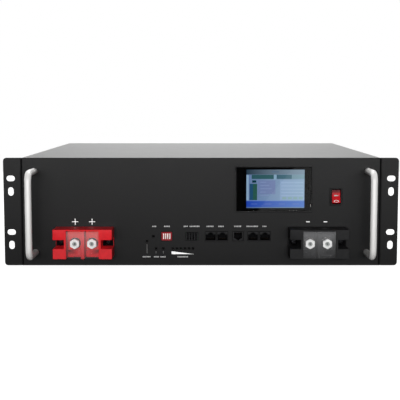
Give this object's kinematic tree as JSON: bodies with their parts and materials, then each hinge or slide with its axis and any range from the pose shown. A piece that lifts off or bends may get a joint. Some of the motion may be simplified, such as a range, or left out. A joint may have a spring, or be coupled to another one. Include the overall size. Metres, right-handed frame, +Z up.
{
  "type": "rack-mount battery pack",
  "caption": "Rack-mount lithium battery in a steel case, with pull handles, slotted ears, a lit display, a rocker switch, bolted power terminals and a row of data ports.",
  "frame": {"origin": "on the plane that the pack stands on, under the middle of its overall box, handles included", "axes": "+Z up, +Y from the front panel to the rear, +X to the right seen from the front"},
  "size_m": [0.4826, 0.468, 0.1325],
  "materials": {
    "case_grey": "satin grey coating on sheet steel",
    "panel_black": "fine matt black powder coat",
    "handle_metal": "satin anodised",
    "bezel_black": "smooth black",
    "cover_glass": "clear window with a printed black border",
    "screen": "lit display",
    "black_plastic": "moulded black",
    "red_plastic": "moulded red",
    "white_plastic": "moulded white",
    "clear_lid": "clear polycarbonate",
    "light_pipe": "smoked clear",
    "plated_copper": "tin-plated copper",
    "plated_steel": "bright zinc plate",
    "circuit_board": "green solder mask",
    "cell_film": "aluminium can in blue film",
    "bare_aluminium": "milled",
    "foam": "closed-cell foam",
    "red_cable": "silicone insulation",
    "black_cable": "silicone insulation"
  },
  "bodies": {
    "case": {"chassis_tray": "case_grey", "top_cover": "case_grey", "front_panel": "panel_black", "rack_ear_left": "panel_black", "rack_ear_right": "panel_black", "pull_handle_left": "handle_metal", "pull_handle_right": "handle_metal", "lcd_bezel": "bezel_black", "lcd_glass": "cover_glass", "lcd_module": "screen", "switch_frame": "black_plastic", "dry_contact_block": "black_plastic", "rs485_port": "black_plastic", "can_port": "black_plastic", "rs232_port": "black_plastic", "parallel_in_port": "black_plastic", "parallel_out_port": "black_plastic", "negative_terminal_body": "black_plastic", "dip_body": "red_plastic", "positive_terminal_body": "red_plastic", "interface_board": "circuit_board", "bms_board": "circuit_board", "cell_link_board": "circuit_board", "light_pipes": "light_pipe", "positive_bus_bar": "plated_copper", "negative_bus_bar": "plated_copper", "positive_bolt_left": "plated_steel", "positive_bolt_right": "plated_steel", "negative_bolt_left": "plated_steel", "negative_bolt_right": "plated_steel", "cell_front_1": "cell_film", "cell_front_2": "cell_film", "cell_front_3": "cell_film", "cell_front_4": "cell_film", "cell_front_5": "cell_film", "cell_front_6": "cell_film", "cell_front_7": "cell_film", "cell_front_8": "cell_film", "cell_rear_1": "cell_film", "cell_rear_2": "cell_film", "cell_rear_3": "cell_film", "cell_rear_4": "cell_film", "cell_rear_5": "cell_film", "cell_rear_6": "cell_film", "cell_rear_7": "cell_film", "cell_rear_8": "cell_film", "cell_pad": "foam", "end_plate_left": "bare_aluminium", "end_plate_right": "bare_aluminium", "bms_heat_sink": "bare_aluminium", "positive_lead": "red_cable", "negative_lead": "black_cable"},
    "power_rocker": {"switch_rocker": "red_plastic"},
    "reset_button": {"reset_button": "black_plastic"},
    "dip_slider_1": {"dip_slider_1": "white_plastic"},
    "dip_slider_2": {"dip_slider_2": "white_plastic"},
    "dip_slider_3": {"dip_slider_3": "white_plastic"},
    "dip_slider_4": {"dip_slider_4": "white_plastic"},
    "positive_lid": {"positive_terminal_lid": "clear_lid"},
    "negative_lid": {"negative_terminal_lid": "clear_lid"}
  },
  "joints": [
    {"name": "rocker_hinge", "type": "hinge", "parent": "case", "child": "power_rocker", "pos_m": [0.165, -0.1854, 0.0848], "axis": [1, 0, 0], "range_deg": [0, 22]},
    {"name": "reset_press", "type": "slide", "parent": "case", "child": "reset_button", "axis": [0, 1, 0], "range_m": [0, 0.0008], "stiffness_N_per_m": 1500},
    {"name": "dip_1_slide", "type": "slide", "parent": "case", "child": "dip_slider_1", "axis": [0, 0, 1], "range_m": [0, 0.002]},
    {"name": "dip_2_slide", "type": "slide", "parent": "case", "child": "dip_slider_2", "axis": [0, 0, 1], "range_m": [0, 0.002]},
    {"name": "dip_3_slide", "type": "slide", "parent": "case", "child": "dip_slider_3", "axis": [0, 0, 1], "range_m": [0, 0.002]},
    {"name": "dip_4_slide", "type": "slide", "parent": "case", "child": "dip_slider_4", "axis": [0, 0, 1], "range_m": [0, 0.002]},
    {"name": "positive_lid_hinge", "type": "hinge", "parent": "case", "child": "positive_lid", "pos_m": [-0.1421, -0.2146, 0.0446], "axis": [-1, 0, 0], "range_deg": [0, 110]},
    {"name": "negative_lid_hinge", "type": "hinge", "parent": "case", "child": "negative_lid", "pos_m": [0.1421, -0.2146, 0.0446], "axis": [-1, 0, 0], "range_deg": [0, 110]}
  ]
}
